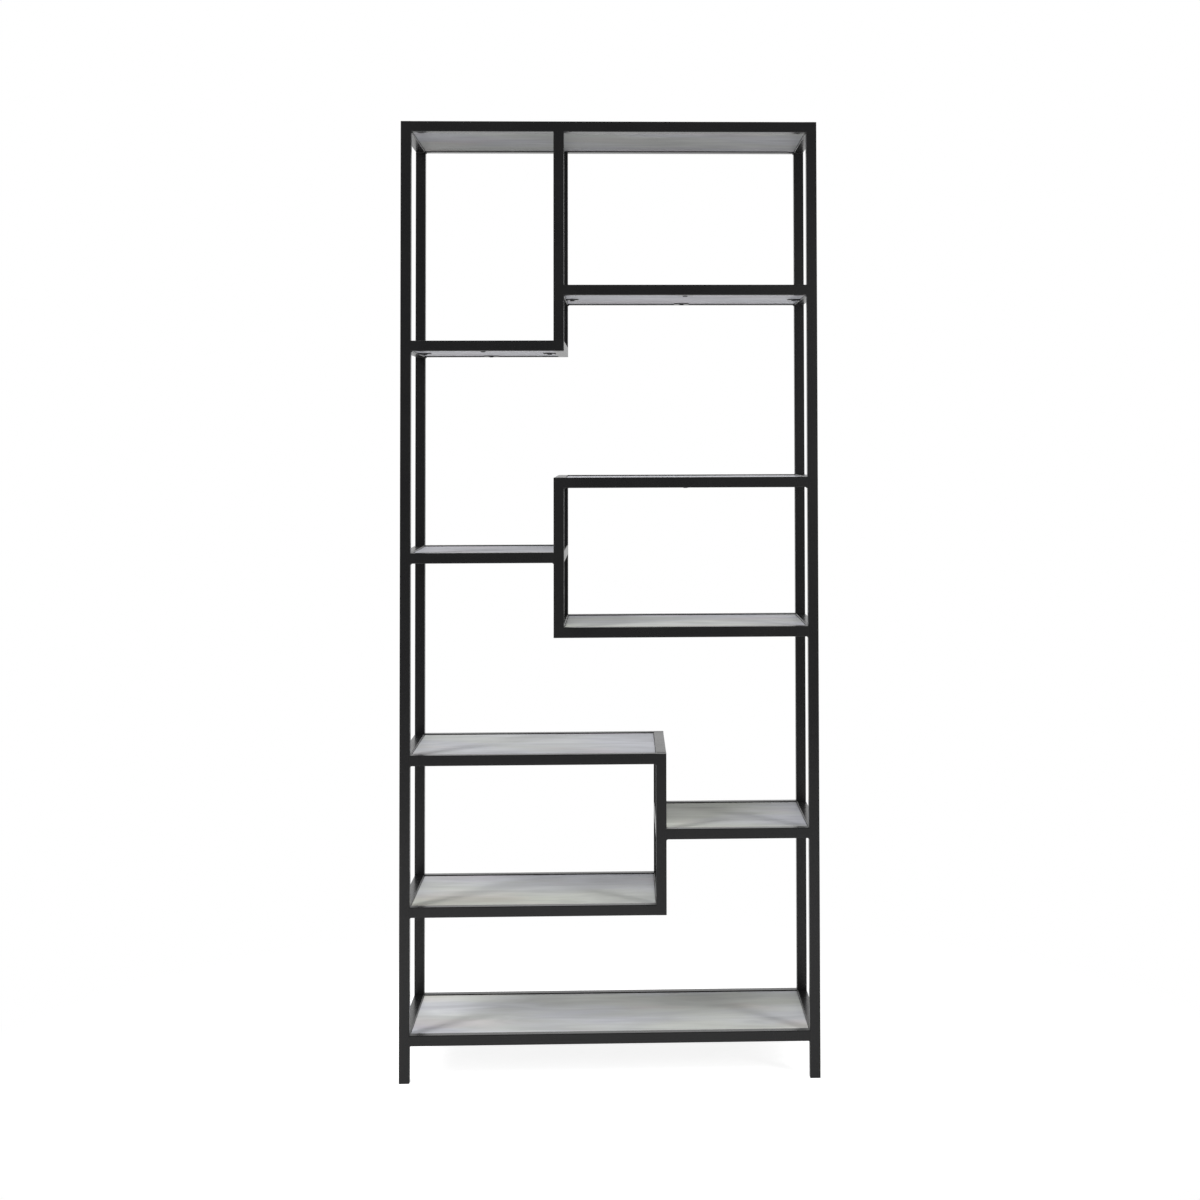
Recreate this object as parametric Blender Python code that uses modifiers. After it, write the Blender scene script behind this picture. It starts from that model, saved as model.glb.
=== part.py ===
"""Etagere: a tall open stand of square steel tube that frames ten shelf boards.

Metres, +Z up. The origin lies on the floor under the middle of the stand, the
front faces -Y, and the viewer's left is -X. Every tube is hollow, the rails butt
against the posts, and each board drops into its frame of four rails, where it
lies on small steel tabs, or on a narrow lip in the top frame.
"""

import math

import bmesh
import bpy
from mathutils import Matrix

# Overall sizes; the height is the sum of the rises below
WIDTH = 0.800
DEPTH = 0.350

# Square tube
TUBE = 0.020
TUBE_WALL = 0.0012
TUBE_CORNER = 0.0015
CORNER_STEPS = 2
END_PLATE = 0.002

# Rises from the floor up, each to the top of the next shelf frame
BOTTOM_SHELF_HEIGHT = 0.090
LOW_BAY_RISE = 0.241
LOWER_BOX_STEP = 0.143
MIDDLE_BAY_RISE = 0.241
UPPER_BOX_STEP = 0.143
HIGH_BAY_RISE = 0.263
HANGING_STEP = 0.107
TOP_BAY_RISE = 0.315

# Clear width of the narrow bays, left of the two upper dividers and right of the lower one
UPPER_NARROW_BAY = 0.2725
LOWER_NARROW_BAY = 0.2725

# Boards
BOARD_THICK = 0.016
BOARD_EDGE = 0.0005
BOARD_CLEARANCE = 0.0005

# Steel tabs and lips under the boards
TAB_WIDTH = 0.030
TAB_REACH = 0.025
TAB_THICK = 0.0015
TAB_INSET = 0.0002
TAB_HOLE = 0.005
LIP_REACH = 0.008
LIP_END_INSET = 0.010
LEDGE_ROOT = 2 * TUBE_CORNER

# Vent hole in each post, hidden in the bore of the rail that covers it
VENT_HOLE = 0.006

# Gap between pieces that touch, and how far a cutter runs past its cut
SEAT_GAP = 0.0003
OVERRUN = 0.001
ROUND_STEPS = 12

# Places that follow from the sizes
LEFT_FACE = -WIDTH / 2 + TUBE
RIGHT_FACE = WIDTH / 2 - TUBE
FRONT_FACE = -DEPTH / 2 + TUBE
REAR_FACE = DEPTH / 2 - TUBE
UPPER_DIVIDER_LEFT = LEFT_FACE + UPPER_NARROW_BAY
UPPER_DIVIDER_RIGHT = UPPER_DIVIDER_LEFT + TUBE
LOWER_DIVIDER_RIGHT = RIGHT_FACE - LOWER_NARROW_BAY
LOWER_DIVIDER_LEFT = LOWER_DIVIDER_RIGHT - TUBE

LOWER_BOX_FLOOR = BOTTOM_SHELF_HEIGHT + LOW_BAY_RISE
RIGHT_LOWER_LEVEL = LOWER_BOX_FLOOR + LOWER_BOX_STEP
LOWER_BOX_TOP = RIGHT_LOWER_LEVEL + LOWER_BOX_STEP
UPPER_BOX_FLOOR = LOWER_BOX_TOP + MIDDLE_BAY_RISE
LEFT_MIDDLE_LEVEL = UPPER_BOX_FLOOR + UPPER_BOX_STEP
UPPER_BOX_TOP = LEFT_MIDDLE_LEVEL + UPPER_BOX_STEP
LEFT_UPPER_LEVEL = UPPER_BOX_TOP + HIGH_BAY_RISE
RIGHT_UPPER_LEVEL = LEFT_UPPER_LEVEL + HANGING_STEP
HEIGHT = RIGHT_UPPER_LEVEL + TOP_BAY_RISE

# Each shelf: its name, the height of its frame's top, and the faces its rails run between
SHELVES = [
    ("top", HEIGHT, LEFT_FACE, RIGHT_FACE),
    ("right_upper", RIGHT_UPPER_LEVEL, UPPER_DIVIDER_RIGHT, RIGHT_FACE),
    ("left_upper", LEFT_UPPER_LEVEL, LEFT_FACE, UPPER_DIVIDER_LEFT),
    ("upper_box_top", UPPER_BOX_TOP, UPPER_DIVIDER_RIGHT, RIGHT_FACE),
    ("left_middle", LEFT_MIDDLE_LEVEL, LEFT_FACE, UPPER_DIVIDER_LEFT),
    ("upper_box_floor", UPPER_BOX_FLOOR, UPPER_DIVIDER_RIGHT, RIGHT_FACE),
    ("lower_box_top", LOWER_BOX_TOP, LEFT_FACE, LOWER_DIVIDER_LEFT),
    ("right_lower", RIGHT_LOWER_LEVEL, LOWER_DIVIDER_RIGHT, RIGHT_FACE),
    ("lower_box_floor", LOWER_BOX_FLOOR, LEFT_FACE, LOWER_DIVIDER_LEFT),
    ("bottom", BOTTOM_SHELF_HEIGHT, LEFT_FACE, RIGHT_FACE),
]


def clear_scene():
    for item in list(bpy.data.objects):
        bpy.data.objects.remove(item)


def new_collection(name):
    collection = bpy.data.collections.new(name)
    bpy.context.scene.collection.children.link(collection)
    return collection


def finish(name, colour, roughness, metallic):
    material = bpy.data.materials.new(name)
    material.use_nodes = True
    shader = material.node_tree.nodes["Principled BSDF"]
    shader.inputs["Base Color"].default_value = (*colour, 1.0)
    shader.inputs["Roughness"].default_value = roughness
    shader.inputs["Metallic"].default_value = metallic
    return material


def mesh_from(name, bm):
    mesh = bpy.data.meshes.new(name)
    bm.to_mesh(mesh)
    bm.free()
    return mesh


def block(name, size, centre=(0, 0, 0)):
    """A plain box of this size about this centre."""
    bm = bmesh.new()
    bmesh.ops.create_cube(bm, size=1, matrix=Matrix.Translation(centre) @ Matrix.Diagonal((*size, 1)))
    return mesh_from(name, bm)


def rounded_bar(name, size, axis):
    """A box whose four edges along the given axis have the tube's corner radius."""
    bm = bmesh.new()
    bmesh.ops.create_cube(bm, size=1, matrix=Matrix.Diagonal((*size, 1)))
    long_edges = [
        edge for edge in bm.edges
        if abs(edge.verts[0].co[axis] - edge.verts[1].co[axis]) > size[axis] / 2
    ]
    bmesh.ops.bevel(
        bm, geom=long_edges, offset=TUBE_CORNER, segments=CORNER_STEPS, profile=0.5, affect="EDGES",
    )
    return mesh_from(name, bm)


def round_pin(name, diameter, length, centre, turn):
    """A cylinder about this centre, turned from +Z by the given matrix."""
    bm = bmesh.new()
    bmesh.ops.create_cone(
        bm, cap_ends=True, segments=ROUND_STEPS, radius1=diameter / 2, radius2=diameter / 2,
        depth=length, matrix=Matrix.Translation(centre) @ turn,
    )
    return mesh_from(name, bm)


def add_piece(name, mesh, place, turn, material):
    piece = bpy.data.objects.new(name, mesh)
    piece.location = place
    piece.rotation_euler = (0, 0, turn)
    mesh.materials.append(material)
    pieces.objects.link(piece)
    return piece


def shape_with(piece, mesh, operation):
    """Join or cut the piece with a helper body that rides on it."""
    helper = bpy.data.objects.new(mesh.name, mesh)
    helper.parent = piece
    helper.hide_render = True
    helper.display_type = "WIRE"
    cutters.objects.link(helper)
    boolean = piece.modifiers.new(mesh.name, "BOOLEAN")
    boolean.operation = operation
    boolean.solver = "EXACT"
    boolean.object = helper


def rail(name, length, place, turn, ledge_width, ledge_reach, hole):
    """A hollow rail along its own X, with a ledge under the board towards its own +Y."""
    piece = add_piece(name, rounded_bar(name, (length, TUBE, TUBE), 0), place, turn, steel)
    ledge_run = ledge_reach + LEDGE_ROOT
    ledge_height = -TUBE / 2 + TAB_INSET + TAB_THICK / 2
    if ledge_reach:
        ledge_centre = (0, TUBE / 2 + ledge_reach - ledge_run / 2, ledge_height)
        ledge = block(name + "_ledge", (ledge_width, ledge_run, TAB_THICK), ledge_centre)
        shape_with(piece, ledge, "UNION")
    bore_side = TUBE - 2 * TUBE_WALL
    bore = block(name + "_bore", (length + 2 * OVERRUN, bore_side, bore_side))
    shape_with(piece, bore, "DIFFERENCE")
    if hole:
        hole_centre = (0, TUBE / 2 + ledge_reach / 2, ledge_height)
        pin = round_pin(name + "_hole", hole, TAB_THICK + 2 * OVERRUN, hole_centre, Matrix.Identity(4))
        shape_with(piece, pin, "DIFFERENCE")


def post(name, x, y, low, high, vent_height, vent_side, open_top=False):
    """A hollow upright with end plates, and a vent hole on its left (-1) or right (+1) face."""
    length = high - low
    middle = (low + high) / 2
    piece = add_piece(name, rounded_bar(name, (TUBE, TUBE, length), 2), (x, y, middle), 0, steel)
    bore_side = TUBE - 2 * TUBE_WALL
    bore_low = -length / 2 + END_PLATE
    bore_high = length / 2 + (OVERRUN if open_top else -END_PLATE)
    bore_centre = (0, 0, (bore_low + bore_high) / 2)
    bore = block(name + "_bore", (bore_side, bore_side, bore_high - bore_low), bore_centre)
    shape_with(piece, bore, "DIFFERENCE")
    vent_centre = (vent_side * (TUBE - TUBE_WALL) / 2, 0, vent_height - middle)
    sideways = Matrix.Rotation(math.pi / 2, 4, "Y")
    vent = round_pin(name + "_vent", VENT_HOLE, TUBE_WALL + 2 * OVERRUN, vent_centre, sideways)
    shape_with(piece, vent, "DIFFERENCE")


def board(name, left, right, level):
    """A board in its frame, its underside a seat gap above the tabs."""
    size_x = right - left - 2 * BOARD_CLEARANCE
    size_y = REAR_FACE - FRONT_FACE - 2 * BOARD_CLEARANCE
    underside = level - TUBE + TAB_INSET + TAB_THICK + SEAT_GAP
    place = ((left + right) / 2, 0, underside + BOARD_THICK / 2)
    piece = add_piece(name, block(name, (size_x, size_y, BOARD_THICK)), place, 0, laminate)
    bevel = piece.modifiers.new("edge", "BEVEL")
    bevel.width = BOARD_EDGE
    bevel.segments = 1


def shelf(name, level, left, right):
    """The four rails and the board of one shelf."""
    middle_x = (left + right) / 2
    height = level - TUBE / 2
    long_run = right - left - 2 * SEAT_GAP
    short_run = REAR_FACE - FRONT_FACE - 2 * SEAT_GAP
    if name == "top":
        ledge, hole, side_reach, side_hole = long_run - 2 * LIP_END_INSET, 0, 0, 0
        reach = LIP_REACH
    else:
        ledge, hole, side_reach, side_hole = TAB_WIDTH, TAB_HOLE, TAB_REACH, TAB_HOLE
        reach = TAB_REACH
    front = (middle_x, FRONT_FACE - TUBE / 2, height)
    rear = (middle_x, REAR_FACE + TUBE / 2, height)
    rail("rail_front_" + name, long_run, front, 0, ledge, reach, hole)
    rail("rail_rear_" + name, long_run, rear, math.pi, ledge, reach, hole)
    left_end = (left - TUBE / 2, 0, height)
    right_end = (right + TUBE / 2, 0, height)
    rail("rail_left_" + name, short_run, left_end, -math.pi / 2, TAB_WIDTH, side_reach, side_hole)
    rail("rail_right_" + name, short_run, right_end, math.pi / 2, TAB_WIDTH, side_reach, side_hole)
    board("board_" + name, left, right, level)


def corner_posts():
    vent_height = BOTTOM_SHELF_HEIGHT - TUBE / 2
    for depth_name, y in (("front", FRONT_FACE - TUBE / 2), ("rear", REAR_FACE + TUBE / 2)):
        post("post_" + depth_name + "_left", LEFT_FACE - TUBE / 2, y, 0, HEIGHT, vent_height, 1)
        post("post_" + depth_name + "_right", RIGHT_FACE + TUBE / 2, y, 0, HEIGHT, vent_height, -1)


def divider_posts():
    """Three short pairs of posts that carry the inner ends of the part-width shelves."""
    upper_x = UPPER_DIVIDER_LEFT + TUBE / 2
    lower_x = LOWER_DIVIDER_LEFT + TUBE / 2
    hang_high = HEIGHT - TUBE - SEAT_GAP
    for depth_name, y in (("front", FRONT_FACE - TUBE / 2), ("rear", REAR_FACE + TUBE / 2)):
        post("hanging_post_" + depth_name, upper_x, y, LEFT_UPPER_LEVEL - TUBE, hang_high,
             LEFT_UPPER_LEVEL - TUBE / 2, -1, open_top=True)
        post("upper_box_post_" + depth_name, upper_x, y, UPPER_BOX_FLOOR - TUBE, UPPER_BOX_TOP,
             UPPER_BOX_FLOOR - TUBE / 2, 1)
        post("lower_box_post_" + depth_name, lower_x, y, LOWER_BOX_FLOOR - TUBE, LOWER_BOX_TOP,
             LOWER_BOX_FLOOR - TUBE / 2, -1)


clear_scene()
pieces = new_collection("etagere")
cutters = new_collection("cutters")
steel = finish("black_powder_coat", (0.022, 0.022, 0.024), 0.38, 0.0)
laminate = finish("pale_grey_laminate", (0.46, 0.465, 0.46), 0.45, 0.0)

corner_posts()
divider_posts()
for shelf_row in SHELVES:
    shelf(*shelf_row)
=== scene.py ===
"""Looks of the etagere: satin black coat on welded square tube, pale grey laminate
boards, the small screws and welds under them, a plain studio and the camera.

Metres, +Z up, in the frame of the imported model. Every mesh is written in that
frame, so a finish that is laid out by place runs on from one piece to the next.
"""

import math
import random

import bmesh
import bpy
from mathutils import Matrix, Vector


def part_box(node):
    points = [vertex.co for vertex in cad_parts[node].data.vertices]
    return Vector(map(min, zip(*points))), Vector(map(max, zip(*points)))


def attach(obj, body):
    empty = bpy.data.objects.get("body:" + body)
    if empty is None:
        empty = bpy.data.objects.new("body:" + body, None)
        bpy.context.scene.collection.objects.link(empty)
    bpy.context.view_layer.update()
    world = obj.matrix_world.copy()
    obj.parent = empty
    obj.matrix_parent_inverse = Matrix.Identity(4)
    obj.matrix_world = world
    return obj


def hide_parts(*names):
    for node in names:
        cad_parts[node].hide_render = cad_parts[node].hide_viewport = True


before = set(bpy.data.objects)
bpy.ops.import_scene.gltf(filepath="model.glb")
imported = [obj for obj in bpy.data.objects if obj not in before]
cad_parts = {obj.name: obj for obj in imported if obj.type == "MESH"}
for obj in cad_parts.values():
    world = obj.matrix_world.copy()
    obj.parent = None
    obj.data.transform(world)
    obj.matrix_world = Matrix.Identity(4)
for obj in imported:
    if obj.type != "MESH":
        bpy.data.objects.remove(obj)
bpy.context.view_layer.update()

# A quarter turn, each side of a shelf with how far its rail turns from the front one's
# direction, and the angle over which an edge is shaded sharp
QUARTER = math.pi / 2
SIDES = {"front": 0.0, "rear": math.pi, "left": -QUARTER, "right": QUARTER}
SHARP_ANGLE = math.radians(35)
DOWN = Vector((0, 0, -1))

# Square tube. The model leaves a gap at each joint, which a tube's end runs over and on
# into the rounded corner of the next tube.
TUBE = 0.020
TUBE_WALL = 0.0012
TUBE_CORNER = 0.0015
CORNER_STEPS = 5
SEAT_GAP = 0.0003
SEAT_REACH = SEAT_GAP + TUBE_CORNER
END_RECESS = 0.00015
LEG_BEVEL = 0.0004

# The plate that closes a post's end, inside the tube's wall
PLATE_CORNER = TUBE_CORNER / 4
PLATE_RECESS = 0.00012
PLATE_SHRINK = 0.98

# A weld's mark in the coat is full up to one distance and gone at the other. The tubes
# have loops near their ends that carry it.
WELD_MARK_FULL = 0.009
WELD_MARK_END = 0.024
END_LOOPS = (0.004, 0.012, 0.0264)
JOINT_MARGIN = 0.002

# Weld beads: their leg and ripples in metres, their steps, the span of the random phase,
# how far a slow wander turns along them, and shares of the leg, and at last of the run
BEAD_LEG = 0.0022
BEAD_RIPPLE = 0.0013
RIPPLE_STEPS = 4
FEWEST_STEPS = 6
ARC_STEPS = 5
PHASES = 6
WANDER_TURN = 17
BEAD_BODY = 0.86
RIPPLE_SHARE = 0.16
WANDER_SHARE = 0.05
BEAD_HOLLOW = 0.20
BEAD_TIP = 0.05
BEAD_ROOT = 0.15
BEAD_RISE = 1 / 6

# Tabs and lips under the boards, and the bead along a tab's root
TAB_WIDTH = 0.030
TAB_REACH = 0.025
TAB_THICK = 0.0015
TAB_INSET = 0.0002
TAB_CORNER = 0.003
TAB_CORNER_STEPS = 6
TAB_HOLE = 0.005
TAB_EASE = 0.0002
TAB_BEAD_LEG = 0.0014
TAB_BEAD_MARGIN = 0.002
TAB_BEAD_TILT = 0.35
LIP_REACH = 0.008
LIP_CORNER = 0.0015
LIP_END_INSET = 0.010
LEDGE_ROOT = 0.0016

# A board's edge from its side to its face, past the eased corner and the thin line of the
# band: how far in and how far below the face each loop lies
BAND_THICK = 0.0009
BAND_LINE = 0.00018
BAND_DEPTH = 0.00008
BOARD_EASE = 0.0006
BOARD_EDGE = (
    (0.0, BOARD_EASE), (0.3 * BOARD_EASE, 0.3 * BOARD_EASE), (BOARD_EASE, 0.0),
    (BAND_THICK, 0.0), (BAND_THICK + 0.4 * BAND_LINE, BAND_DEPTH),
    (BAND_THICK + 0.6 * BAND_LINE, BAND_DEPTH), (BAND_THICK + BAND_LINE, 0.0),
)

# The shelves from the top down. Each board has the place in the laminate's pattern that it
# is cut from, then its painted light and shade (0 is none) and its cast (0 greenish, 1 cool),
# as they run between its corners: front left, front right, rear left, rear right. The painted
# light and shade makes a board darker where the shelves above and the posts shade it and
# lighter where light comes in from the open sides: darker under the top board, lighter under
# the two boards below it. The three high boards have these two on the underside, and a plain
# middling sheet with no painted light and shade on top.
BOARD_SHEETS = {
    "top": ((6.74, 5.99), (-0.16, -0.09, -0.62, -0.46), (0.75, 0.60, 0.75, 0.60)),
    "right_upper": ((1.37, 1.04), (0.52,) * 4, (1.30,) * 4),
    "left_upper": ((2.74, 2.08), (0.62,) * 4, (1.30,) * 4),
    "upper_box_top": ((4.11, 3.12), (0.58,) * 4, (1.20,) * 4),
    "left_middle": ((5.48, 0.84), (-0.42,) * 4, (1.30,) * 4),
    "upper_box_floor": ((2.07, 5.93), (0.40, -0.20, -0.25, 0.02), (0.00, 0.60, 0.74, 1.00)),
    "lower_box_top": ((6.08, 1.48), (-0.40, -0.22, -0.12, 0.45), (0.46, 1.30, 0.67, 1.22)),
    "right_lower": ((12.16, 7.22), (0.15, -0.35, -0.44, -0.41), (-0.30, 0.85, -0.77, 1.14)),
    "lower_box_floor": ((10.96, 1.68), (-0.26, -0.08, -0.11, 0.12), (-0.20, 0.70, 1.05, 0.82)),
    "bottom": ((8.70, 5.65), (0.06, 0.22, 0.48, -0.36), (0.87, 0.42, 0.43, 0.48)),
}
SHELVES = tuple(BOARD_SHEETS)
HIGH_BOARDS = ("top", "right_upper", "left_upper")
HIGH_TOP_PAINTED_LIGHT = 0.0
HIGH_TOP_CAST = 0.7

# Pan-head screws with a cross recess, whose floor has a share of its span and its width.
# The profile gives shares of the head's radius and height, from its flat face to the tab.
HEAD_RADIUS = 0.0050
HEAD_HEIGHT = 0.0016
HEAD_PROFILE = (
    (0.45, 1.0), (0.72, 0.93), (0.88, 0.72), (0.97, 0.42), (1.0, 0.16), (0.985, 0.0),
)
SHANK_RADIUS = 0.0019
SHANK_REACH = 0.010
RECESS_SPAN = 0.0052
RECESS_WIDTH = 0.0010
RECESS_DEPTH = 0.0013
RECESS_OVERCUT = 0.001
RECESS_FLOOR_SPAN = 0.55
RECESS_FLOOR_WIDTH = 0.8
SCREW_SIDES = 28

# Black powder coat
COAT_DARK = (0.0055, 0.0055, 0.0059, 1)
COAT_LIGHT = (0.0083, 0.0082, 0.0085, 1)
COAT_ROUGHNESS = 0.22
COAT_IOR = 1.45
COAT_RELIEF = (0.35, 0.00004)
WELD_RELIEF = 5.0

# Pale laminate: the dark and the light of its pattern in either cast, and how much of the
# tone comes from each part of the pattern
GREENISH_DARK = (0.394, 0.408, 0.364, 1)
GREENISH_LIGHT = (0.569, 0.588, 0.527, 1)
COOL_DARK = (0.390, 0.397, 0.432, 1)
COOL_LIGHT = (0.563, 0.573, 0.620, 1)
ROSY_TINT = (1.04, 0.98, 0.98)
BANDS_SHARE = 0.44
STREAKS_SHARE = 0.17
CLOUDS_SHARE = 0.32
FIBRES_SHARE = 0.07
CAST_CHANGE = 0.6
# How much a board's painted light and shade darkens or lightens its colour
PAINTED_LIGHT_SHARE = 0.5
LAMINATE_ROUGHNESS = 0.50
LAMINATE_IOR = 1.46
LAMINATE_RELIEF = (0.25, 0.00003)

# Black oxide
OXIDE_DARK = (0.014, 0.014, 0.016, 1)
OXIDE_RUBBED = (0.070, 0.069, 0.067, 1)
OXIDE_ROUGHNESS = 0.46
OXIDE_METALLIC = 0.6
OXIDE_RELIEF = (0.2, 0.00002)

# The room: its even light, and what the gloss mirrors in front of the stand and behind it
WHITE = (1, 1, 1, 1)
AMBIENT = 0.28
GLOSS_FRONT = 0.14
GLOSS_BEHIND = 0.84
ROOM_TURN = (-0.5, 0.45)

# The floor: what lifts it to white for the camera, and what the gloss mirrors of its front
# and of its back part. The three spans say where it goes over into plain white, where the
# front part goes over into the back part, and where the front part's sheen ends.
FLOOR_HALF = 8.0
FLOOR_TILES = 8
FLOOR_TONE = 0.50
FLOOR_LIFT = 0.86
FLOOR_SHEEN = 0.26
FLOOR_BEHIND = 0.60
WHITE_FROM = (0.5, 1.3)
BEHIND_FROM = (0.2, 1.2)
SHEEN_FADE = (2.5, 7.0)

# Soft boxes, all aimed at one point: place, width, height and watts, and whether the gloss
# mirrors it. The two strips aren't mirrored, so they leave no glare on the boards from behind.
LAMP_TARGET = Vector((0, 0, 0.8))
SOFT_BOXES = {
    "strip_left": ((-2.08, -2.08, 2.5), 0.7, 1.8, 83, False),
    "strip_right": ((2.13, -2.45, 1.79), 0.6, 1.8, 64, False),
    "tall_window": ((-2.62, -0.85, 3.11), 2.4, 2.4, 46, True),
    "low_fill": ((1.21, -3.33, 1.43), 1.2, 1.2, 3, True),
}

# The camera that was fitted to the photograph. Its focal length and its middle are in the
# photograph's pixels, and its yaw, pitch and roll in degrees.
PICTURE = 1200
SENSOR = 36.0
FOCAL = 2336.92
PICTURE_MIDDLE = (721.36, 353.55)
CLIP_START = 0.05
CAMERA_PLACE = (0.02526, -4.66222, 1.21607)
CAMERA_TURN = (-2.419, 2.106, -0.174)

chance = random.Random(4)


# Shader maths

class Field:
    """A value that changes over a surface: a node's output, with plain arithmetic."""

    def __init__(self, finish, socket):
        self.finish = finish
        self.socket = socket

    def maths(self, operation, first, second, clamp=False):
        settings = {"operation": operation, "use_clamp": clamp}
        return self.finish.node("ShaderNodeMath", settings, {0: first, 1: second})

    def __add__(self, other):
        return self.maths("ADD", self, other)

    def __radd__(self, other):
        return self.maths("ADD", other, self)

    def __sub__(self, other):
        return self.maths("SUBTRACT", self, other)

    def __rsub__(self, other):
        return self.maths("SUBTRACT", other, self)

    def __mul__(self, other):
        return self.maths("MULTIPLY", self, other)

    def __rmul__(self, other):
        return self.maths("MULTIPLY", other, self)

    def clamped(self):
        return self.maths("ADD", self, 0.0, clamp=True)


class Finish:
    """The node tree of a material or of the world, built one node at a time."""

    def __init__(self, owner):
        owner.use_nodes = True
        self.owner = owner
        self.tree = owner.node_tree
        self.tree.nodes.clear()

    def node(self, kind, settings=None, sockets=None, output=0):
        """Any node, by its type, its settings and the values or links of its sockets."""
        node = self.tree.nodes.new(kind)
        for key, value in (settings or {}).items():
            setattr(node, key, value)
        for key, value in (sockets or {}).items():
            if isinstance(value, Field):
                self.tree.links.new(value.socket, node.inputs[key])
            else:
                node.inputs[key].default_value = value
        return Field(self, node.outputs[output] if node.outputs else None)

    def part_of(self, field, output):
        """Another output of the node that a field comes from."""
        return Field(self, field.socket.node.outputs[output])

    def place(self):
        return self.node("ShaderNodeTexCoord", output="Object")

    def stored(self, name, output="Fac"):
        """A value that is stored at the points of the mesh."""
        return self.node("ShaderNodeAttribute", {"attribute_name": name}, output=output)

    def noise(self, place, scale, detail=2.0, roughness=0.5, distortion=0.0):
        return self.node("ShaderNodeTexNoise", {}, {
            "Vector": place, "Scale": scale, "Detail": detail,
            "Roughness": roughness, "Distortion": distortion,
        }, "Fac")

    def drawn_out(self, place, scale, shift=(0.0, 0.0, 0.0), **noise):
        """Noise with a scale of its own along each axis."""
        sockets = {"Vector": place, "Scale": scale, "Location": shift}
        return self.noise(self.node("ShaderNodeMapping", {}, sockets), 1.0, **noise)

    def span(self, value, low, high, out_low=0.0, out_high=1.0):
        """A soft step from one level to the other as the value goes from low to high."""
        settings = {"interpolation_type": "SMOOTHSTEP", "clamp": True}
        return self.node("ShaderNodeMapRange", settings, {
            "Value": value, "From Min": low, "From Max": high,
            "To Min": out_low, "To Max": out_high,
        })

    def blend(self, factor, first, second):
        """A colour between two colours. The mix node's colours are its sockets 6 and 7."""
        sockets = {0: factor, 6: first, 7: second}
        return self.node("ShaderNodeMix", {"data_type": "RGBA"}, sockets, output=2)

    def glow(self, kind, strength):
        """White light of this strength: an emission or a background."""
        return self.node(kind, {}, {"Color": WHITE, "Strength": strength})

    def rays(self):
        """What the camera sees, and what is seen by way of gloss or through glass."""
        camera = self.node("ShaderNodeLightPath", output="Is Camera Ray")
        glossy = self.part_of(camera, "Is Glossy Ray")
        return camera, (glossy + self.part_of(camera, "Is Transmission Ray")).clamped()

    def surface(self, colour, roughness, height, relief, fixed):
        """The material of this colour and roughness, with a fine relief from the height and
        fixed values in other sockets."""
        strength, distance = relief
        sockets = {"Strength": strength, "Distance": distance, "Height": height}
        bump = self.node("ShaderNodeBump", {}, sockets)
        return self.material(self.node("ShaderNodeBsdfPrincipled", {}, {
            "Base Color": colour, "Roughness": roughness, "Normal": bump, **fixed,
        }))

    def material(self, shader):
        self.node("ShaderNodeOutputMaterial", {}, {"Surface": shader})
        return self.owner


# Finishes

def black_powder_coat():
    """Satin black powder coat: a faint orange peel, softly uneven gloss, rougher over welds."""
    coat = Finish(bpy.data.materials.new("black_powder_coat"))
    place = coat.place()
    cloudy = coat.noise(place, 9.0, detail=3.0)
    peel = coat.noise(place, 620.0, roughness=0.45)
    grit = coat.noise(place, 2600.0, detail=1.0)
    waver = coat.noise(place, 55.0)
    weld = coat.stored("weld")
    colour = coat.blend(cloudy, COAT_DARK, COAT_LIGHT)
    roughness = COAT_ROUGHNESS + cloudy * 0.06 + grit * 0.03 + weld * 0.06
    height = peel * 0.55 + grit * 0.12 + weld * waver * WELD_RELIEF
    return coat.surface(colour, roughness, height, COAT_RELIEF, {"IOR": COAT_IOR})


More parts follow.
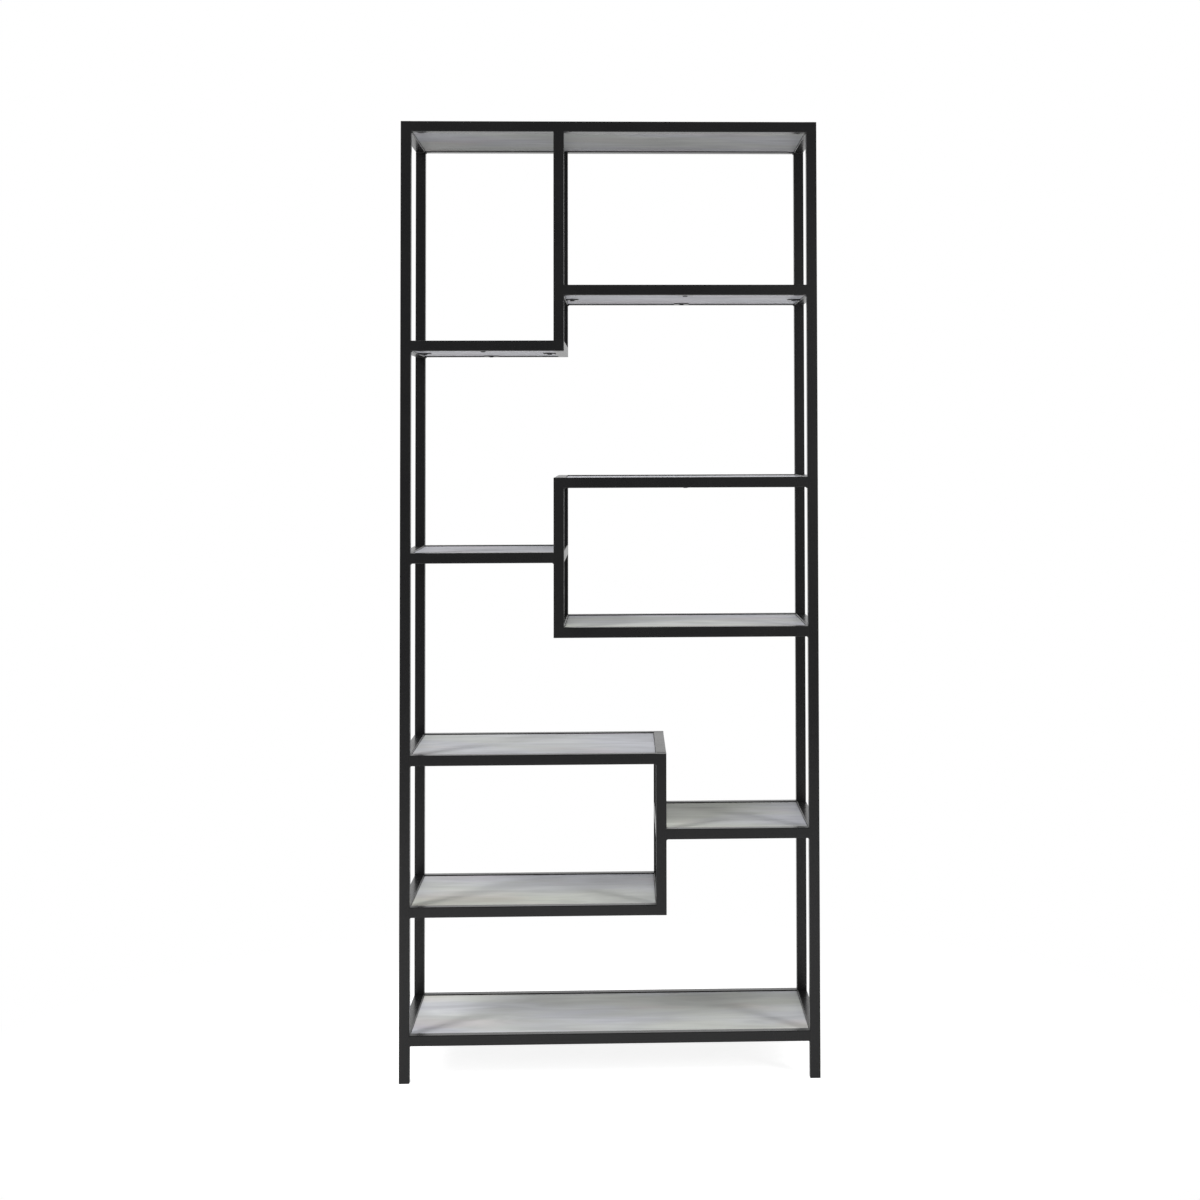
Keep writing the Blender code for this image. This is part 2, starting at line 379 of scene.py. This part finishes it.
def pale_laminate():
    """Pale grey laminate: soft streaks along the board, faint clouding, a fine pressed grain."""
    sheet = Finish(bpy.data.materials.new("pale_laminate"))
    cut = sheet.stored("sheet", "Vector")
    # The board's painted light and shade, and its cast
    own = sheet.stored("painted_light_and_shade")
    cast = sheet.stored("own_cast")
    bands = sheet.drawn_out(
        cut, (3.6, 15.0, 1.0), detail=3.0, roughness=0.55, distortion=1.5)
    streaks = sheet.drawn_out(
        cut, (8.0, 34.0, 1.0), detail=4.0, roughness=0.55, distortion=1.3)
    fibres = sheet.drawn_out(cut, (28.0, 900.0, 1.0))
    clouds = sheet.drawn_out(cut, (5.0, 9.0, 1.0), (3.1, 7.7, 0.0))
    cool = sheet.drawn_out(cut, (3.2, 8.0, 1.0), (13.1, 2.7, 0.0))
    rosy = sheet.drawn_out(cut, (4.1, 7.0, 1.0), (5.3, 9.4, 0.0))
    tone = (
        sheet.span(bands, 0.34, 0.66) * BANDS_SHARE
        + sheet.span(streaks, 0.32, 0.68) * STREAKS_SHARE
        + sheet.span(clouds, 0.34, 0.66) * CLOUDS_SHARE
        + fibres * FIBRES_SHARE
    )
    change = sheet.span(cool, 0.36, 0.64) * CAST_CHANGE
    tint = (change + cast - CAST_CHANGE / 2).clamped()
    dark = sheet.blend(tint, GREENISH_DARK, COOL_DARK)
    light = sheet.blend(tint, GREENISH_LIGHT, COOL_LIGHT)
    plain = sheet.blend(tone, dark, light)
    blush = sheet.span(rosy, 0.50, 0.66)
    multiply = {"operation": "MULTIPLY"}
    blushed = sheet.node("ShaderNodeVectorMath", multiply, {0: plain, 1: ROSY_TINT})
    toned = sheet.blend(blush, plain, blushed)
    # Painted light and shade: each board's stored level darkens or lightens its colour where
    # less or more light falls, and makes its lighter parts a little glossier
    level = 1.0 + own * PAINTED_LIGHT_SHARE
    scale = {"operation": "SCALE"}
    colour = sheet.node("ShaderNodeVectorMath", scale, {"Vector": toned, "Scale": level})
    roughness = LAMINATE_ROUGHNESS - tone * 0.08 - own * 0.12
    height = fibres * 0.7 + streaks * 0.5
    return sheet.surface(colour, roughness, height, LAMINATE_RELIEF, {"IOR": LAMINATE_IOR})


def black_oxide():
    """Oiled black oxide on the screws, rubbed greyer here and there."""
    plating = Finish(bpy.data.materials.new("black_oxide"))
    place = plating.place()
    rubbed = plating.span(plating.noise(place, 900.0, detail=3.0), 0.55, 0.72)
    mottle = plating.noise(place, 2400.0)
    colour = plating.blend(rubbed, OXIDE_DARK, OXIDE_RUBBED)
    roughness = OXIDE_ROUGHNESS + mottle * 0.16
    return plating.surface(
        colour, roughness, mottle, OXIDE_RELIEF, {"Metallic": OXIDE_METALLIC})


# Mesh helpers

def add_object(name, data):
    """Puts a mesh, a lamp or a camera into the scene."""
    thing = bpy.data.objects.new(name, data)
    bpy.context.scene.collection.objects.link(thing)
    return thing


def mesh_from(name, bm):
    mesh = bpy.data.meshes.new(name)
    bm.to_mesh(mesh)
    bm.free()
    return mesh


def rounded_square(half, radius):
    """The outline of a square with rounded corners, from its right side anticlockwise."""
    outline = []
    flat = half - radius
    for corner, (right, up) in enumerate(((1, 1), (-1, 1), (-1, -1), (1, -1))):
        for step in range(CORNER_STEPS + 1):
            angle = QUARTER * (corner + step / CORNER_STEPS)
            outline.append((
                right * flat + radius * math.cos(angle),
                up * flat + radius * math.sin(angle),
            ))
    return outline


def skin(bm, rings):
    """Quads between rings of equal count."""
    for first, second in zip(rings, rings[1:]):
        count = len(first)
        for i in range(count):
            j = (i + 1) % count
            bm.faces.new((first[i], first[j], second[j], second[i]))


def solid(bm, rings):
    """Quads between the rings, and a face over the first and the last of them."""
    skin(bm, rings)
    bm.faces.new(rings[0][::-1])
    bm.faces.new(rings[-1])


def ring_across(bm, outline, x):
    """A ring of the outline in the plane across +X at this x."""
    return [bm.verts.new((x, y, z)) for y, z in outline]


def ring_level(bm, outline, z):
    """A ring of the outline in the level plane at this z."""
    return [bm.verts.new((x, y, z)) for x, y in outline]


def square_tube(bm, low, high, plates=(False, False), bevel=0.0):
    """A tube along +X from low to high, with plates in its ends and a bevel at its low end
    where they are asked for."""
    outline = rounded_square(TUBE / 2, TUBE_CORNER)
    marks = [low + bevel] + [low + loop for loop in END_LOOPS]
    marks += [high - loop for loop in reversed(END_LOOPS)] + [high]
    rings = [ring_across(bm, outline, x) for x in marks]
    inner = rounded_square(TUBE / 2 - TUBE_WALL, PLATE_CORNER)
    shrunk = [(PLATE_SHRINK * y, PLATE_SHRINK * z) for y, z in inner]
    if bevel:
        eased = rounded_square(TUBE / 2 - bevel, TUBE_CORNER - bevel)
        rings.insert(0, ring_across(bm, eased, low))
    if plates[0]:
        rings.insert(0, ring_across(bm, inner, low))
        rings.insert(0, ring_across(bm, shrunk, low + PLATE_RECESS))
    if plates[1]:
        rings.append(ring_across(bm, inner, high))
        rings.append(ring_across(bm, shrunk, high - PLATE_RECESS))
    solid(bm, rings)


def ledge_plate(bm, width, reach, corner, hole):
    """A flat steel tab or lip that leaves the rail's inner side, with a screw hole in a tab."""
    root = TUBE / 2 - LEDGE_ROOT
    tip = TUBE / 2 + reach
    centre = Vector((0, TUBE / 2 + reach / 2 if hole else (root + tip) / 2))
    outline = [(-width / 2, root), (width / 2, root)]
    for side, start in ((1, 0), (-1, QUARTER)):
        for step in range(TAB_CORNER_STEPS + 1):
            angle = QUARTER * (step / TAB_CORNER_STEPS) + start
            x = side * (width / 2 - corner) + corner * math.cos(angle)
            outline.append((x, tip - corner + corner * math.sin(angle)))
    shrunk, circle = [], []
    for x, y in outline:
        way = (Vector((x, y)) - centre).normalized()
        shrunk.append((x - way.x * TAB_EASE, y - way.y * TAB_EASE))
        circle.append((centre.x + way.x * hole / 2, centre.y + way.y * hole / 2))
    under = -TUBE / 2 + TAB_INSET
    face = under + TAB_THICK
    rings = [
        ring_level(bm, shrunk, under), ring_level(bm, outline, under + TAB_EASE),
        ring_level(bm, outline, face - TAB_EASE), ring_level(bm, shrunk, face),
    ]
    if hole:
        low_edge, high_edge = ring_level(bm, circle, under), ring_level(bm, circle, face)
        skin(bm, rings)
        skin(bm, [low_edge, rings[0]])
        skin(bm, [rings[-1], high_edge, low_edge])
    else:
        solid(bm, rings)


def weld_bead(bm, start, end, up, out, leg):
    """A small rippled fillet bead from start to end, in the corner between up and out."""
    run = end - start
    steps = max(FEWEST_STEPS, round(run.length / BEAD_RIPPLE * RIPPLE_STEPS))
    ripples = 2 * math.pi * run.length / BEAD_RIPPLE
    phase = chance.uniform(0, PHASES)
    rings = []
    for step in range(steps + 1):
        share = step / steps
        fade = min(1.0, share / BEAD_RISE, (1 - share) / BEAD_RISE) ** 0.5
        ripple = 0.5 + 0.5 * math.cos(ripples * share + phase)
        wander = math.sin(WANDER_TURN * share + phase)
        size = leg * fade * (BEAD_BODY + RIPPLE_SHARE * ripple + WANDER_SHARE * wander)
        size = max(size, leg * BEAD_TIP)
        base = start + run * share
        ring = []
        for turn in range(ARC_STEPS + 1):
            angle = QUARTER * turn / ARC_STEPS
            bulge = 1 - BEAD_HOLLOW * (1 - abs(math.cos(2 * angle)))
            way = out * math.cos(angle) + up * math.sin(angle)
            ring.append(bm.verts.new(base + way * size * bulge))
        ring.append(bm.verts.new(base - (out + up) * leg * BEAD_ROOT))
        rings.append(ring)
    solid(bm, rings)


def piece_from(name, bm, material, nodes=(), matrix=None):
    """Turns the mesh into a smooth-shaded piece on the body and hides the model's parts that it
    stands for.
    """
    if matrix is not None:
        bmesh.ops.transform(bm, matrix=matrix, verts=bm.verts)
    bmesh.ops.recalc_face_normals(bm, faces=bm.faces)
    mesh = mesh_from(name, bm)
    mesh.materials.append(material)
    mesh.shade_smooth()
    mesh.set_sharp_from_angle(angle=SHARP_ANGLE)
    piece = add_object(name, mesh)
    weighted = piece.modifiers.new("flat_faces", "WEIGHTED_NORMAL")
    weighted.keep_sharp = True
    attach(piece, "root")
    if nodes:
        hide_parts(*nodes)
    return piece


def store(piece, name, value_at, kind="FLOAT", field="value"):
    """Stores a value at each point of the piece, for its finish to read."""
    attribute = piece.data.attributes.new(name, kind, "POINT")
    for item, vertex in zip(attribute.data, piece.data.vertices):
        setattr(item, field, value_at(vertex.co))


def store_weld_marks(piece, welds):
    """Stores how close each point is to a weld: 1 at the weld, 0 away from it."""
    def mark(point):
        near = min((point - weld).length for weld in welds)
        return max(0.0, min(1.0, (WELD_MARK_END - near) / (WELD_MARK_END - WELD_MARK_FULL)))

    store(piece, "weld", mark)


# Frame tubes

def rail_node(shelf, side):
    return "rail_" + side + "_" + shelf


def rail_place(shelf, side):
    """The matrix of a rail's own axes, along +X with the shelf at +Y, and its half length."""
    low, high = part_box(rail_node(shelf, side))
    x, y = (low.x + high.x) / 2, (low.y + high.y) / 2
    if side in ("front", "rear"):
        half = (high.x - low.x) / 2
        y = low.y + TUBE / 2 if side == "front" else high.y - TUBE / 2
    else:
        half = (high.y - low.y) / 2
        x = low.x + TUBE / 2 if side == "left" else high.x - TUBE / 2
    place = Matrix.Translation((x, y, high.z - TUBE / 2))
    return place @ Matrix.Rotation(SIDES[side], 4, "Z"), half


def rail(shelf, side):
    """A rail with its tab, or with its lip at the front and rear of the top board."""
    matrix, half = rail_place(shelf, side)
    bm = bmesh.new()
    square_tube(bm, -half - SEAT_REACH, half + SEAT_REACH)
    if shelf != "top":
        ledge_plate(bm, TAB_WIDTH, TAB_REACH, TAB_CORNER, TAB_HOLE)
    elif side in ("front", "rear"):
        ledge_plate(bm, 2 * (half - LIP_END_INSET), LIP_REACH, LIP_CORNER, 0)
    name = "tube_" + side + "_" + shelf
    piece = piece_from(name, bm, coat, [rail_node(shelf, side)], matrix)
    store_weld_marks(piece, [matrix @ Vector((end * half, 0, 0)) for end in (-1, 1)])


def upright(node):
    """A post. A leg stands on the floor, and a hanging post runs up into the top rail."""
    low, high = posts[node]
    leg = node.startswith("post")
    hanging = node.startswith("hanging")
    bottom = low.z if leg else low.z + END_RECESS
    top = high.z + SEAT_REACH if hanging else high.z - END_RECESS
    bm = bmesh.new()
    square_tube(bm, bottom, top, (True, not hanging), LEG_BEVEL if leg else 0.0)
    centre = Vector(((low.x + high.x) / 2, (low.y + high.y) / 2, 0))
    matrix = Matrix.Translation(centre) @ Matrix.Rotation(-QUARTER, 4, "Y")
    piece = piece_from(node.replace("post", "upright"), bm, coat, [node], matrix)
    store_weld_marks(piece, [centre + Vector((0, 0, level)) for level in joints_of(node)])


def joints_of(node):
    """The heights of the rails that are welded to a post's sides."""
    low, high = posts[node]
    joints = []
    for shelf in SHELVES:
        rail_low, rail_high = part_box(rail_node(shelf, "front"))
        level = rail_high.z - TUBE / 2
        gap = min(abs(rail_low.x - high.x), abs(rail_high.x - low.x))
        if gap < 2 * SEAT_GAP and low.z < level < high.z:
            joints.append(level)
    return joints


def post_runs_on(point):
    """Whether a post goes on below a rail's end."""
    for low, high in posts.values():
        near_x = low.x - JOINT_MARGIN < point.x < high.x + JOINT_MARGIN
        near_y = low.y - JOINT_MARGIN < point.y < high.y + JOINT_MARGIN
        if near_x and near_y and low.z < point.z < high.z:
            return low.z < point.z - TUBE
    return False


def shelf_welds(shelf):
    """Beads under the rail ends, where a post runs on below, and along the roots of the tabs."""
    bm = bmesh.new()
    for side in SIDES:
        matrix, half = rail_place(shelf, side)
        turn = matrix.to_3x3()
        along, inward = turn @ Vector((1, 0, 0)), turn @ Vector((0, 1, 0))
        span = inward * (TUBE / 2 - TUBE_CORNER)
        for end in (-1, 1):
            corner = matrix @ Vector((end * (half + SEAT_GAP), 0, 0))
            if post_runs_on(corner):
                middle = corner + DOWN * TUBE / 2
                weld_bead(bm, middle - span, middle + span, DOWN, -end * along, BEAD_LEG)
        if shelf != "top":
            root = matrix @ Vector((0, TUBE / 2, -TUBE / 2 + TAB_INSET))
            span = along * (TAB_WIDTH / 2 - TAB_BEAD_MARGIN)
            lean = -TAB_BEAD_TILT * inward
            weld_bead(bm, root - span, root + span, lean, inward, TAB_BEAD_LEG)
    piece = piece_from("welds_" + shelf, bm, coat)
    store(piece, "weld", lambda point: 1.0)


# Boards

def board(shelf):
    """A board with eased edges and a band's thin line round its faces."""
    node = "board_" + shelf
    low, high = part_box(node)
    bm = bmesh.new()
    stacks = []
    for face, inward in ((low.z, 1), (high.z, -1)):
        stack = []
        for inset, drop in BOARD_EDGE:
            left, right = low.x + inset, high.x - inset
            front, rear = low.y + inset, high.y - inset
            outline = ((left, front), (right, front), (right, rear), (left, rear))
            stack.append(ring_level(bm, outline, face + inward * drop))
        stacks.append(stack)
    solid(bm, stacks[0][::-1] + stacks[1])
    piece = piece_from("panel_" + shelf, bm, laminate, [node])

    cut, painted_light_corners, casts = BOARD_SHEETS[shelf]
    shift = Vector(cut + (0,))
    store(piece, "sheet", lambda point: point + shift, "FLOAT_VECTOR", "vector")
    middle = (low + high) / 2

    def by_corner(corners, high_top):
        """The value of a point's corner, or on top of a high board the plain sheet's."""
        def value_at(point):
            right, back, upper = (point[axis] > middle[axis] for axis in range(3))
            return high_top if upper and shelf in HIGH_BOARDS else corners[2 * back + right]

        return value_at

    # The painted light and shade at each corner of the board, and none on top of a high board
    store(piece, "painted_light_and_shade", by_corner(painted_light_corners, HIGH_TOP_PAINTED_LIGHT))
    store(piece, "own_cast", by_corner(casts, HIGH_TOP_CAST))


# Screws

def screw_mesh():
    """One screw, its head down: a pan head with a cross recess, and the top of its shank."""
    profile = [(share * HEAD_RADIUS, -drop * HEAD_HEIGHT) for share, drop in HEAD_PROFILE]
    profile += [(SHANK_RADIUS, 0.0), (SHANK_RADIUS, SHANK_REACH)]
    angles = [2 * math.pi * i / SCREW_SIDES for i in range(SCREW_SIDES)]
    bm = bmesh.new()
    solid(bm, [
        ring_level(bm, [(radius * math.cos(a), radius * math.sin(a)) for a in angles], z)
        for radius, z in profile
    ])
    bmesh.ops.recalc_face_normals(bm, faces=bm.faces)
    blank = add_object("screw_blank", mesh_from("screw_head", bm))
    tools = [blank]
    for turn in (0.0, QUARTER):
        cut = bmesh.new()
        bmesh.ops.create_cube(cut, size=1)
        for vertex in cut.verts:
            deep = vertex.co.z > 0
            vertex.co.x *= RECESS_SPAN * (RECESS_FLOOR_SPAN if deep else 1.0)
            vertex.co.y *= RECESS_WIDTH * (RECESS_FLOOR_WIDTH if deep else 1.0)
            vertex.co.z = -HEAD_HEIGHT + (RECESS_DEPTH if deep else -RECESS_OVERCUT)
        turned = Matrix.Rotation(turn, 3, "Z")
        bmesh.ops.rotate(cut, verts=cut.verts, cent=(0, 0, 0), matrix=turned)
        cutter = add_object("screw_slot", mesh_from("screw_slot", cut))
        boolean = blank.modifiers.new("slot", "BOOLEAN")
        boolean.operation = "DIFFERENCE"
        boolean.solver = "EXACT"
        boolean.object = cutter
        tools.append(cutter)
    graph = bpy.context.evaluated_depsgraph_get()
    mesh = bpy.data.meshes.new_from_object(blank.evaluated_get(graph))
    for tool in tools:
        bpy.data.objects.remove(tool)
    return mesh


def shelf_screws(shelf):
    """One screw up through each tab of a shelf, each stopped at its own angle."""
    bm = bmesh.new()
    for side in SIDES:
        rail_matrix = rail_place(shelf, side)[0]
        seat = rail_matrix @ Vector((0, TUBE / 2 + TAB_REACH / 2, -TUBE / 2 + TAB_INSET))
        turn = Matrix.Rotation(chance.uniform(0, QUARTER), 4, "Z")
        placed = screw.copy()
        placed.transform(Matrix.Translation(seat) @ turn)
        bm.from_mesh(placed)
        bpy.data.meshes.remove(placed)
    piece_from("screws_" + shelf, bm, plating)


# Build the stand

coat = black_powder_coat()
laminate = pale_laminate()
plating = black_oxide()
screw = screw_mesh()

posts = {name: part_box(name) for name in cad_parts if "post" in name}
for post in sorted(posts):
    upright(post)
for shelf in SHELVES:
    for side in SIDES:
        rail(shelf, side)
    shelf_welds(shelf)
    if shelf != "top":
        shelf_screws(shelf)
for shelf in SHELVES:
    board(shelf)


# Studio

def white_studio():
    """A room that is white to the camera, dim in front and light behind to the gloss, and
    a soft even light to the rest."""
    world = bpy.data.worlds.new("studio")
    bpy.context.scene.world = world
    room = Finish(world)
    way = room.node("ShaderNodeTexCoord", output="Generated")
    back = room.node("ShaderNodeSeparateXYZ", {}, {"Vector": way}, "Y")
    mirrored = GLOSS_FRONT + room.span(back, *ROOM_TURN) * (GLOSS_BEHIND - GLOSS_FRONT)
    camera, gloss = room.rays()
    ambient = room.glow("ShaderNodeBackground", AMBIENT)
    sheen = room.glow("ShaderNodeBackground", mirrored)
    white = room.glow("ShaderNodeBackground", 1.0)
    lit = room.node("ShaderNodeMixShader", {}, {0: gloss, 1: ambient, 2: sheen})
    seen = room.node("ShaderNodeMixShader", {}, {0: camera, 1: lit, 2: white})
    room.node("ShaderNodeOutputWorld", {}, {"Surface": seen})


def pale_floor():
    """A white floor that keeps the soft shadow and goes over into the white room."""
    paint = Finish(bpy.data.materials.new("white_floor"))
    place = paint.place()
    reach = paint.node("ShaderNodeVectorMath", {"operation": "LENGTH"}, {0: place}, "Value")
    back = paint.node("ShaderNodeSeparateXYZ", {}, {"Vector": place}, "Y")
    behind = paint.span(back, *BEHIND_FROM)
    before = paint.span(reach, *SHEEN_FADE, 1.0, 0.0) * (1.0 - behind)
    camera, gloss = paint.rays()
    level = camera * FLOOR_LIFT + gloss * (before * FLOOR_SHEEN + behind * FLOOR_BEHIND)
    tone = (FLOOR_TONE, FLOOR_TONE, FLOOR_TONE, 1)
    matt = paint.node("ShaderNodeBsdfDiffuse", {}, {"Color": tone})
    lift = paint.glow("ShaderNodeEmission", level)
    white = paint.glow("ShaderNodeEmission", 1.0)
    lifted = paint.node("ShaderNodeAddShader", {}, {0: matt, 1: lift})
    share = paint.span(reach, *WHITE_FROM) * camera
    paint.material(paint.node("ShaderNodeMixShader", {}, {0: share, 1: lifted, 2: white}))
    paint.owner.cycles.emission_sampling = "NONE"

    bm = bmesh.new()
    bmesh.ops.create_grid(bm, x_segments=FLOOR_TILES, y_segments=FLOOR_TILES, size=FLOOR_HALF)
    floor = add_object("floor", mesh_from("floor", bm))
    floor.data.materials.append(paint.owner)


def soft_box(name, place, width, height, watts, mirrored):
    """An area lamp that looks at the target."""
    light = bpy.data.lights.new(name, "AREA")
    light.shape = "RECTANGLE"
    light.size = width
    light.size_y = height
    light.energy = watts
    lamp = add_object(name, light)
    turn = (LAMP_TARGET - Vector(place)).to_track_quat("-Z", "Y").to_matrix().to_4x4()
    lamp.matrix_world = Matrix.Translation(place) @ turn
    lamp.visible_glossy = mirrored


def photo_camera():
    data = bpy.data.cameras.new("camera")
    data.sensor_fit = "HORIZONTAL"
    data.sensor_width = SENSOR
    data.lens = SENSOR * FOCAL / PICTURE
    data.shift_x = (PICTURE / 2 - PICTURE_MIDDLE[0]) / PICTURE
    data.shift_y = (PICTURE_MIDDLE[1] - PICTURE / 2) / PICTURE
    data.clip_start = CLIP_START
    camera = add_object("camera", data)
    yaw, pitch, roll = (math.radians(angle) for angle in CAMERA_TURN)
    camera.matrix_world = (
        Matrix.Translation(CAMERA_PLACE)
        @ Matrix.Rotation(yaw, 4, "Z")
        @ Matrix.Rotation(QUARTER + pitch, 4, "X")
        @ Matrix.Rotation(roll, 4, "Z")
    )
    bpy.context.scene.camera = camera


white_studio()
pale_floor()
for name, settings in SOFT_BOXES.items():
    soft_box(name, *settings)
photo_camera()
bpy.context.scene.view_settings.view_transform = "Standard"
